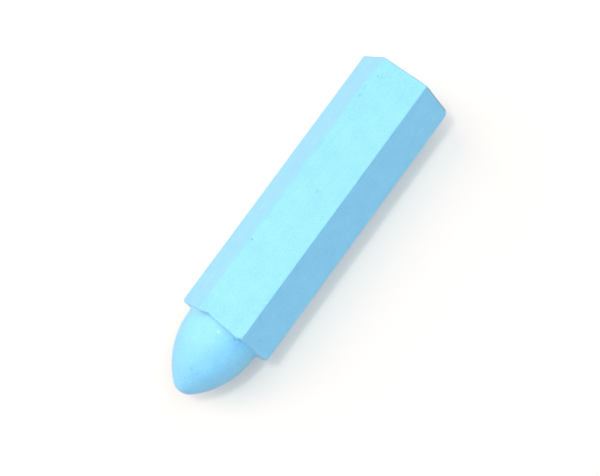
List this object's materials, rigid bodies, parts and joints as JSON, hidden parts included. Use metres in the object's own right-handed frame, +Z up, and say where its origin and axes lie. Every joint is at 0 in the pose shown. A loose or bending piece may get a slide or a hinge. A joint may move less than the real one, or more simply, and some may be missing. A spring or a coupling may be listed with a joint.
{
  "type": "chalk stick",
  "caption": "Jumbo stick of sky-blue moulded chalk: a hexagonal body with a square shoulder and a round writing nose, lying on one facet.",
  "frame": {"origin": "middle of the stick's bounding box, on the surface that it lies on", "axes": "+X along the stick towards the nose, +Y across the ridges, +Z up through the upper facet"},
  "size_m": [0.0936, 0.0252, 0.022],
  "materials": {
    "chalk": "matte"
  },
  "bodies": {
    "root": {"chalk_stick": "chalk"}
  },
  "joints": []
}
